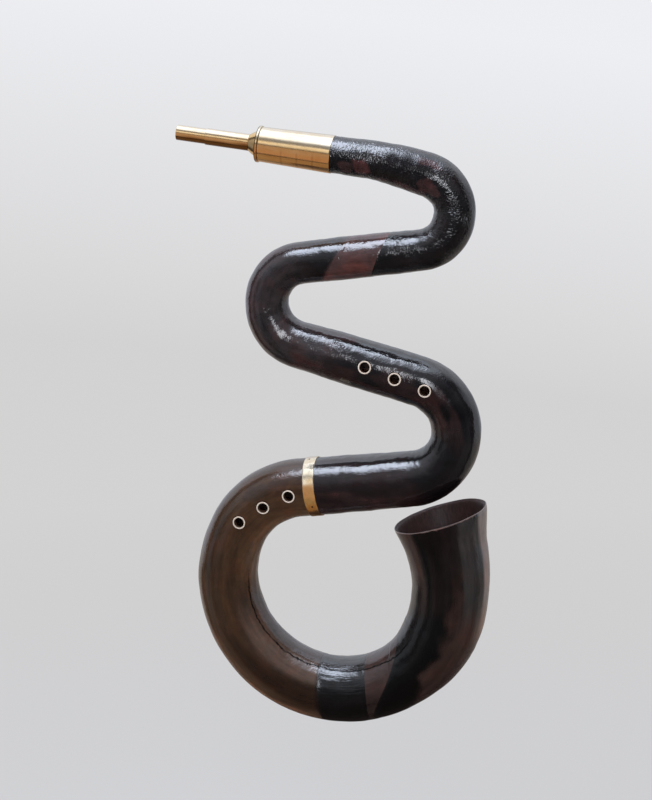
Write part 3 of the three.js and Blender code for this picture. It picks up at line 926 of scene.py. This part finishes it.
def corner_tone(*at):
    """A black diagonal that crosses to the upper side, and tan on the outer side."""
    station, angle, _ = at
    degrees = turned_from(0, angle)
    degrees = np.where(degrees > 90, degrees - 360, degrees)
    waver = ripple(unrolled(*at), 92, 10, 40)
    outer = ease(-degrees + 3 * waver, 94, 114)
    reached = ease(station - 1694 - (degrees + 164) * 0.646 + 3 * waver, -9, 14)
    tan_ = layered(
        blotched(TAN, 66, 0.12)(*at),
        # Painted pale reflection along the outer edge, carried on from the bell
        (TAN * [2.0, 1.6, 1.2], ease(-degrees, 150, 175) * ease(-station, -1880, -1780)),
        (UMBER * 1.2, ease(station + 10 * waver, 1800, 1910)),
    )
    colour = mix(upper_black(*at), tan_, outer * reached)
    return mix(stripe_red(*at), colour, past_stripe(station, angle))


def bell_tone(*at):
    """The corner's tones run on up the bell, with long painted reflections: a grey band, pale edges and thin
    dark lines, to a worn pale edge at the rim.
    """
    station, angle, _ = at
    u = unrolled(*at)
    degrees = turned_from(FRONT, angle) + 2.5 * ripple(u * [0.08, 1, 1], 96, 8, 30)
    high = ease(station, 1815, 1860)
    front = 1 - ease(np.abs(degrees), 100, 140)
    low_edge_reflection = ease(-degrees, 54, 70) * (1 - high) * front * ease(station, 1790, 1832)
    worn = ease(past(SEAMS["rim"], station, angle) + 0.25 * ripple(u, 95, 3, 14), -1.1, -0.7)
    return layered(
        corner_tone(*at),
        # Painted reflections: a grey band, dark lines and pale edges; the worn rim is the hide's own
        (BELL_GREY_REFLECTION, 0.85 * high * front * ease(-degrees, 26, 36)),
        (SOOT, high * np.exp(-(((degrees + 59) / 3.5) ** 2))),
        (BELL_EDGE_HIGH_REFLECTION, high * front * ease(-degrees, 61, 71)),
        (BELL_EDGE_LOW_REFLECTION, low_edge_reflection),
        (BELL_INNER_REFLECTION, ease(degrees, 24, 36) * front * ease(station, 1850, 1910)),
        (SOOT, high * np.exp(-(((degrees - 21) / 3) ** 2))),
        (WORN_RIM, 0.8 * worn),
    )


def leather_surface(seed, fine, broad, lip=0.12):
    """Outside of a leather piece: the tube, its uneven hide, and a rolled edge."""

    def outer(station, angle, edge):
        base = cover_radius(station)
        u = unrolled(station, angle, base)
        waves = fine * ripple(u, seed, 9, 22) + broad * ripple(u, seed + 7, 30, 90)
        folds = 0.14 * ripple(u * [0.05, 1, 1], seed + 3, 7, 14)
        inner = ease(np.cos(angle), 0.1, 0.7) * ease(station, 1220, 1300)
        inner = inner * ease(-station, -1760, -1600)
        roll = lip * np.exp(-((edge / 0.7) ** 2))
        return base - 0.1 + (waves + folds * inner) * ease(edge, 0, 4) - roll

    return outer


def under_leather(station, angle, edge):
    return cover_radius(station) - LEATHER


second = place("second_run", 0)
SEAMS = {
    "sleeve": (SLEEVE_END, 0),
    "patch_start": (second + 53, 30),
    "patch_end": (second + 111, 38),
    "band": (LEG["shoulder"]["start"] - 21, 0),
    "wrap": (place("loop", 0.553), -12),
    "stripe": (place("loop", 0.683), 12.5),
    "corner": (place("loop", 0.7405), 39),
    "bell": (place("loop", 0.931), 0),
    "rim": (LENGTH, -4),
}
GAP = 0.03
LEATHERS = [
    ("neck", "sleeve", "patch_start", blotched(BLACK, 60), NECK_LEATHER, "black_leather", ()),
    ("patch", "patch_start", "patch_end", blotched(RUST, 61), MIDDLE_LEATHER, "red_leather", ()),
    ("middle", "patch_end", "band", middle_tone, MIDDLE_LEATHER, "black_leather", UPPER_HOLES),
    ("shoulder", "band", "wrap", shoulder_tone, LOWER_LEATHER, "brown_leather", LOWER_HOLES),
    ("black_wrap", "wrap", "stripe", wrap_tone, WRAP_LEATHER, "black_leather", ()),
    ("stripe", "stripe", "corner", stripe_tone, LOWER_LEATHER, "brown_leather", ()),
    ("corner", "corner", "bell", corner_tone, LOWER_LEATHER, "black_leather", ()),
    ("bell", "bell", "rim", bell_tone, LOWER_LEATHER, "black_leather", ()),
]
for count, (name, first, last, tone, material, slot, holes) in enumerate(LEATHERS):
    (start, start_slant), (end, end_slant) = SEAMS[first], SEAMS[last]
    ends = ((start + GAP, start_slant), (end - GAP, end_slant))
    fine, broad = (0.05, 0.2) if material in (WRAP_LEATHER, LOWER_LEATHER) else (0.09, 0.22)
    surface = leather_surface(20 + count, fine, broad, 0.05 if material is WRAP_LEATHER else 0.12)
    piece = sleeve("leather_" + name, "horn", ends, surface, under_leather, waver=int(name == "bell"))
    for hole in holes:
        foot, out = hole_frame(hole)
        drill(piece, foot, out, BUSH_RADIUS + 0.1, 12, 12)
    dress(piece, material, start - 45, end + 45, tone)
    finish_as("cover_" + name)

# Wooden halves that the bell's mouth lets in view
for name, first, last in (("corner", "wrap", "bell"), ("bell", "bell", "rim")):
    (start, start_slant), (end, end_slant) = SEAMS[first], SEAMS[last]
    ends = ((start + 0.1, start_slant), (end - 0.1, end_slant))
    for label, side in (("front", -1), ("back", 1)):
        piece = half(f"wood_{name}_{label}_smooth", "horn", ends, side, 2.4 if name == "bell" else 0)
        dress(piece, HORN_WOOD, start - 20, end + 20)
        finish_as(f"wood_{name}_{label}")


# Bone bushes, with painted shade down their holes
HOLE_SHADE = np.array([0.1, 0.055, 0.04])


def bush_tone(foot, out):
    def tone(points):
        depth = (points - foot) @ np.array(out) / MM
        bright = ease(depth, BUSH_PROUD - 0.75, BUSH_PROUD - 0.15)
        return mix(HOLE_SHADE, 1.0, bright)

    return tone


for number, hole in enumerate([*UPPER_HOLES, *LOWER_HOLES], 1):
    foot, out = hole_frame(hole)
    roundings = (0.2, 0.2, 0.8, 0.6)
    profile = ring_profile(HOLE_RADIUS, BUSH_RADIUS, -BUSH_DEPTH, BUSH_PROUD, roundings)
    piece = lathe(f"bone_bush_{number}", "horn", profile, foot, out, 64)
    piece.data.materials.append(BONE)
    paint(piece.data, bush_tone(foot, out)(mesh_points(piece.data)))
    finish_as(f"finger_bush_{number}")

# Brass round the neck's axis: distances run outwards from the mouth of the socket
MOUTH = -PEG * MM
OUT = (-math.cos(NECK_HEADING), 0, -math.sin(NECK_HEADING))
RIM_FACE = FIT / 2 + 3.8
CAP_FACE = RIM_FACE + FIT
CAP_END = CAP_FACE + 10.4
TUBE_START = CAP_END + 0.6
TUBE_END = TUBE_START + 58.5
SLIDE, SLIDE_BORE = 9.9, 9.1


# Painted highlight and mid tone of the brass
CREAM_HIGHLIGHT = np.array([1.0, 0.93, 0.79])
GOLD = np.array([0.93, 0.72, 0.44])


def brass_tone(low, lines=()):
    """Painted light and shade: pale above, golden in the middle and redder below, with faint rings at given
    stations, shown on the lower side.
    """

    def tone(*at):
        station, angle, _ = at
        up = np.cos(angle) + 0.05 * ripple(unrolled(*at) * [0.15, 1, 1], 41, 4, 30)
        colour = mix(GOLD, CREAM_HIGHLIGHT, ease(up, 0.25, 0.7))
        colour = mix(colour, np.array(low), 1 - ease(up, -0.35, 0.08))
        for line in lines:
            ring = np.exp(-(((station - line) / 0.45) ** 2)) * (1 - ease(up, -0.3, 0.2))
            colour = mix(colour, colour * [0.45, 0.35, 0.25], 0.5 * ring)
        return colour

    return tone


def rim_tone(*at):
    """Painted light above and shade below, with a painted dark line round the edge that meets the cap, for
    the shade and dark reflection there.
    """
    colour = brass_tone((0.9, 0.55, 0.3))(*at)
    return mix(colour, colour * [0.08, 0.05, 0.05], ease(-at[0], RIM_FACE - 1.5, RIM_FACE - 0.9))


def one_tone(*colour):
    return lambda station, angle, radius: np.tile(colour, (len(station), 1))


def turned(name, body, profile, node, tone, shape=None):
    piece = lathe(name, body, profile, MOUTH, OUT, 128, shape)
    dress(piece, BRASS, -140, 100, tone)
    finish_as(node)
    return piece


def even_steps(corners, step):
    """Adds points along the long sides of a closed profile."""
    points = []
    for i, (r, d) in enumerate(corners):
        nr, nd = corners[(i + 1) % len(corners)]
        count = max(1, int(math.hypot(nr - r, nd - d) / step))
        points += [(r + (nr - r) * k / count, d + (nd - d) * k / count) for k in range(count)]
    return points


# Painted shade on the lower side of the pipes
PIPE_SHADE = (0.26, 0.14, 0.065)


def pipe(name, body, node, *ring):
    turned(name, body, even_steps(ring_profile(*ring), 6), node, brass_tone(PIPE_SHADE))


SOLDERED, WALL, HIDDEN_SLIDE, SHOWN_SLIDE = SLIDE + FIT, 0.6, 30, 39.5
slide_ends = TUBE_END - HIDDEN_SLIDE, TUBE_END + SHOWN_SLIDE
pipe("brass_slide", "tuning_slide", "slide_tube", SLIDE_BORE, SLIDE, *slide_ends, (0.2, 0.2, 0.35, 0.35))
tube = SOLDERED, SOLDERED + WALL, TUBE_START, TUBE_END
pipe("brass_tube", "crook", "crook_tube", *tube, (0.2, 0.35, 0.35, 0.15))
turned(
    "brass_cap",
    "crook",
    [
        (SLIDE_BORE, -36),
        (13.5, -36),
        (13.5, CAP_FACE),
        *rounded([(17.5, CAP_FACE, 0.25), (17.5, CAP_FACE + 0.9, 0.4)]),
        (14.9, CAP_FACE + 5.1),
        *rounded([(11.5, CAP_END, 0.4)]),
        (SLIDE, CAP_END),
        (SLIDE, TUBE_START + 12),
        (SLIDE_BORE, TUBE_START + 12),
    ],
    "crook_cap",
    one_tone(1.0, 0.74, 0.42),
)
rim = ring_profile(15.4, 23.9, FIT / 2, RIM_FACE, (0.2, 0.9, 1.3, 0.3), 6)
turned("brass_rim", "horn", rim, "socket_rim", rim_tone)


def sleeve_outside(station, angle, edge):
    radius = 22.7 + (24.9 - 22.7) * station / SLEEVE_END
    u = unrolled(station, angle, radius)
    return radius - 0.03 + 0.02 * ripple(u, 5, 18, 60) - 0.3 * np.exp(-((edge / 0.4) ** 2))


ends = ((0.15, 0), (96.85, 0))
piece = sleeve("brass_sleeve", "horn", ends, sleeve_outside, lambda s, a, e: wood_radius(s) + FIT)
dress(piece, BRASS, -10, 110, brass_tone((0.93, 0.6, 0.32), (33, 54, 75)))
finish_as("socket_sleeve")


BAND = SEAMS["band"][0]
BAND_HALF, SHEET = 7.75, 0.9


def band_outside(station, angle, edge):
    """Thin sheet brass with dents, its lower edge curled up a little on the upper side."""
    radius = cover_radius(station) + FIT + SHEET
    u = unrolled(station, angle, radius)
    dents = 0.1 * ripple(u, 9, 7, 22)
    return radius - 0.1 + dents * ease(edge, 0, 2) - 0.35 * np.exp(-((edge / 0.35) ** 2))


def band_tone(*at):
    # Painted light and shade: pale above, golden in the middle and orange below
    up = -np.cos(at[1]) + 0.12 * ripple(unrolled(*at), 43, 5, 18)
    colour = mix(GOLD, CREAM_HIGHLIGHT, ease(up, 0.1, 0.5))
    return mix(colour, np.array([0.85, 0.5, 0.24]), 1 - ease(up, -0.6, -0.1))


ends = ((BAND - BAND_HALF, 0), (BAND + BAND_HALF, 0))
piece = sleeve("brass_band", "horn", ends, band_outside, lambda s, a, e: cover_radius(s) + FIT, step=0.8)
dress(piece, BAND_BRASS, BAND - 20, BAND + 20, band_tone)
finish_as("joint_band")

# The band's two darkened pins: shift along the tube, and angle in degrees
DOME = [(0.01, 0.35), (0.7, 0.3), (1.2, 0.12), (1.35, -0.2), (1.2, -0.5), (0.01, -0.5)]
for label, shift, lean in (("upper", 1.5, -172), ("lower", -1.0, -63)):
    angle = np.array([math.radians(lean)])
    foot = tube_points(BAND + shift, angle, cover_radius(BAND + shift) + FIT + SHEET)[0]
    centre = tube_points(BAND + shift, angle, 0.001)[0]
    piece = lathe(f"band_pin_{label}", "horn", DOME, foot, foot - centre, 24)
    dress(piece, PIN_BRASS, BAND - 20, BAND + 20, one_tone(0.1, 0.07, 0.05))

# Waxed thread wound on the tenon
PITCH, WOUND, STEP = 0.75, 29.6, 0.125
LAP, CORE, LAP_START = 15.0, 13.8, -2.1


def wound(radius, distance, angles):
    ridge = 0.3 * np.abs(np.sin(math.pi * (distance / PITCH - angles / (2 * math.pi))))
    return np.where(radius > 14, radius - 0.3 + ridge, radius), distance


rows = [(LAP, LAP_START - k * STEP) for k in range(round(WOUND / STEP))]
profile = [(CORE, LAP_START), *rows, (CORE, rows[-1][1])]
piece = lathe("thread_winding", "lapping", profile, MOUTH, OUT, 64, wound, 60)
piece.data.materials.append(THREAD)
finish_as("tenon_lapping")

# CAD nodes that stay in view or under the leather
for name, node in frame["nodes"].items():
    if name.startswith("wood_"):
        node.data.materials.clear()
        node.data.materials.append(HIDDEN_WOOD)

# Camera
scene = bpy.context.scene
CAMERA = Vector((0.5266, -2.8235, 0.4961))
AIM = Vector((-0.12526, 0, -0.28035))
camera_data = bpy.data.cameras.new("camera")
camera_data.lens = 2255.6 / 800 * 36
camera_data.sensor_width = 36
camera_data.clip_end = 60
camera = bpy.data.objects.new("camera", camera_data)
camera.location = CAMERA
camera.rotation_euler = (AIM - CAMERA).to_track_quat("-Z", "Y").to_euler()
scene.collection.objects.link(camera)
scene.camera = camera

# Floor, world and lights
PALE_LOW = rgb(0.652, 0.647, 0.65)
PALE_HIGH = rgb(0.85, 0.858, 0.888)


def either(tree, *rays):
    value = rays[0]
    for ray in rays[1:]:
        value = maths(tree, "MAXIMUM", value, ray)
    return value


def heading_of(tree, vector):
    """How far round from the front a direction lies, from 0 through 0.5 in front to 1."""
    part = put(tree, "SeparateXYZ", {0: vector}).outputs
    angle = maths(tree, "ARCTAN2", part["X"], maths(tree, "MULTIPLY", part["Y"], -1.0))
    return remap(tree, angle, -math.pi, math.pi, 0, 1)


def around(tree, turn, stops):
    """Brightness by direction, from stops of (degrees, brightness)."""
    return ramp(tree, turn, [(0.5 + at / 360, glow) for at, glow in stops])


# What gloss mirrors: degrees round from the front towards +X, and how bright it is
FLOOR_BANDS = [
    (-180, 0.36), (-112, 0.55), (-104, 0.03), (-88, 0.03), (-84, 0.25), (-64, 0.22), (-60, 0.04),
    (-50, 0.04), (-46, 0.12), (-34, 0.1), (-28, 0.05), (38, 0.04), (46, 0.09), (80, 0.12),
    (85, 0.03), (98, 0.03), (104, 0.3), (180, 0.36),
]
floor_mesh = bpy.data.meshes.new("floor")
ring = [(3.4 * math.cos(math.tau * k / 96) - 0.1, 3.4 * math.sin(math.tau * k / 96), -1.1) for k in range(96)]
floor_mesh.from_pydata(ring, [], [tuple(range(96))])
floor = bpy.data.objects.new("floor", floor_mesh)
scene.collection.objects.link(floor)
floor_material = bpy.data.materials.new("floor")
floor_material.use_nodes = True
tree = floor_material.node_tree
tree.nodes.clear()
path = put(tree, "LightPath").outputs
space = put(tree, "TexCoord").outputs["Object"]
away = vector_maths(tree, "DISTANCE", space, (-0.1, 0, -1.1), "Value")
cloth = put(tree, "BsdfDiffuse", {"Color": rgb(0.69, 0.685, 0.69)}).outputs[0]
seen = put(tree, "Emission", {"Color": PALE_LOW}).outputs[0]
shown = put(tree, "MixShader", {0: remap(tree, away, 0.4, 2.2, 0.6, 1.0), 1: cloth, 2: seen}).outputs[0]
# Gloss mirrors the room's bands in the floor too, which is darker close to the horn
turn = heading_of(tree, space)
bands = around(tree, turn, FLOOR_BANDS)
bands = blend(tree, 1.0, bands, rgb(1.0, 0.92, 0.85), "MULTIPLY")
mirrored = blend(tree, remap(tree, away, 0.4, 1.3, 0, 1), rgb(0.035, 0.027, 0.025), bands)
gloss = put(tree, "Emission", {"Color": mirrored}).outputs[0]
mixed = put(tree, "MixShader", {0: path["Is Glossy Ray"], 1: cloth, 2: gloss}).outputs[0]
seen_by = either(tree, path["Is Camera Ray"], path["Is Transmission Ray"])
final = put(tree, "MixShader", {0: seen_by, 1: mixed, 2: shown}).outputs[0]
clear = put(tree, "BsdfTransparent").outputs[0]
faded = put(tree, "MixShader", {0: remap(tree, away, 2.2, 3.3, 0, 1), 1: final, 2: clear}).outputs[0]
put(tree, "OutputMaterial", {0: faded})
floor_mesh.materials.append(floor_material)

ROOM_LOW = [
    (-180, 0.5), (-150, 0.6), (-107, 0.8), (-103, 0.03), (-86, 0.03), (-82, 0.3), (-66, 0.28),
    (-62, 0.04), (-52, 0.04), (-48, 0.18), (-34, 0.16), (-28, 0.05), (55, 0.05), (78, 0.1),
    (83, 0.02), (97, 0.02), (102, 0.5), (150, 0.4), (180, 0.5),
]
ROOM_HIGH = [
    (-180, 0.9), (-107, 0.9), (-100, 0.05), (-88, 0.05), (-82, 0.6), (-50, 0.55), (-25, 0.28),
    (20, 0.28), (60, 0.18), (68, 0.12), (76, 0.03), (91, 0.03), (97, 0.2), (110, 0.4), (130, 0.85),
    (180, 0.9),
]
world = bpy.data.worlds.new("studio")
world.use_nodes = True
scene.world = world
tree = world.node_tree
tree.nodes.clear()
path = put(tree, "LightPath").outputs
ray = put(tree, "TexCoord").outputs["Generated"]
part = put(tree, "SeparateXYZ", {0: ray}).outputs
up = vector_maths(tree, "DOT_PRODUCT", ray, (0.12, 0, 1), "Value")
pale = blend(tree, remap(tree, up, -0.27, -0.12, 0, 1), PALE_LOW, PALE_HIGH)
turn = heading_of(tree, ray)
low, high = around(tree, turn, ROOM_LOW), around(tree, turn, ROOM_HIGH)
room = blend(tree, remap(tree, part["Z"], 0.1, 0.5, 0, 1), low, high)
room = blend(tree, 1.0, room, rgb(0.93, 0.97, 1.08), "MULTIPLY")
room = blend(tree, remap(tree, part["Z"], 0.79, 0.9, 0, 1), room, rgb(1.35, 1.47, 1.7))
colour = blend(tree, path["Is Glossy Ray"], rgb(0.5, 0.5, 0.5), room)
colour = blend(tree, either(tree, path["Is Camera Ray"], path["Is Transmission Ray"]), colour, pale)
sky = put(tree, "Background", {"Color": colour, "Strength": 1.0})
put(tree, "OutputWorld", {0: sky.outputs[0]})


def softbox(name, place_at, aim, width, height, glow, colour, fades=(0.05, 0.05, 0.05, 0.05)):
    """An area light. fades are the shares of it over which its left, right, foot and top die away."""
    data = bpy.data.lights.new(name, "AREA")
    data.shape = "RECTANGLE"
    data.size, data.size_y = width, height
    data.energy = glow * math.pi * width * height
    data.color = colour
    data.use_nodes = True
    tree = data.node_tree
    tree.nodes.clear()
    left, right, foot, top = fades
    across, up = put(tree, "SeparateXYZ", {0: put(tree, "NewGeometry").outputs["Parametric"]}).outputs[:2]
    strength = 1.0
    for edge, at, inner in ((across, 0, left), (across, 1, 1 - right), (up, 0, foot), (up, 1, 1 - top)):
        rise = put(tree, "MapRange", {0: edge, 1: at, 2: inner}, interpolation_type="SMOOTHSTEP").outputs[0]
        strength = maths(tree, "MULTIPLY", rise, strength)
    put(tree, "OutputLight", {0: put(tree, "Emission", {"Strength": strength}).outputs[0]})
    light = bpy.data.objects.new(name, data)
    light.location = place_at
    light.rotation_euler = (Vector(aim) - Vector(place_at)).to_track_quat("-Z", "Y").to_euler()
    light.visible_camera = False
    scene.collection.objects.link(light)
    return light


CENTRE, MOUTHPIPE = (-0.11, 0, -0.33), (-0.2, 0, 0)
fades = (0.15, 0.35, 0.36, 0.12)
window = softbox("window", (-0.52, -0.52, 1.79), CENTRE, 1.6, 2.2, 6.3, (0.86, 0.95, 1.13), fades)
fades = (0.4, 0.4, 0.4, 0.3)
lamp = softbox("lamp", (0.45, -2.72, 0.75), (0, 0, -0.2), 1.4, 1.8, 5.6, (0.95, 0.98, 1.05), fades)

# Polished metal would burn out under these two, so it gets three faint cards instead
fades = (0.1, 0.1, 0.4, 0.05)
card = softbox("card", (-0.9, -2.5, 1.15), MOUTHPIPE, 1.5, 1.15, 0.78, (1.0, 0.97, 0.9), fades)
glow = softbox("floor_glow", (-0.35, -1.3, -0.55), (-0.2, 0, -0.05), 3.0, 1.9, 0.38, (1.0, 0.66, 0.42))
under = softbox("under_glow", (-0.3, -0.25, -1.0), MOUTHPIPE, 1.6, 1.0, 0.26, (1.0, 0.75, 0.42))
metal = bpy.data.collections.new("polished_metal")
others = bpy.data.collections.new("other_surfaces")
shiny = bpy.data.collections.new("all_but_metal_and_the_worn_loop")
for piece in bpy.data.objects:
    if piece.type == "MESH":
        (metal if piece.name.startswith("brass_") else others).objects.link(piece)
        if not piece.name.startswith(("brass_", "leather_shoulder")):
            shiny.objects.link(piece)
window.light_linking.receiver_collection = others
lamp.light_linking.receiver_collection = shiny
for light in (card, glow, under):
    light.light_linking.receiver_collection = metal

scene.view_settings.view_transform = "Standard"
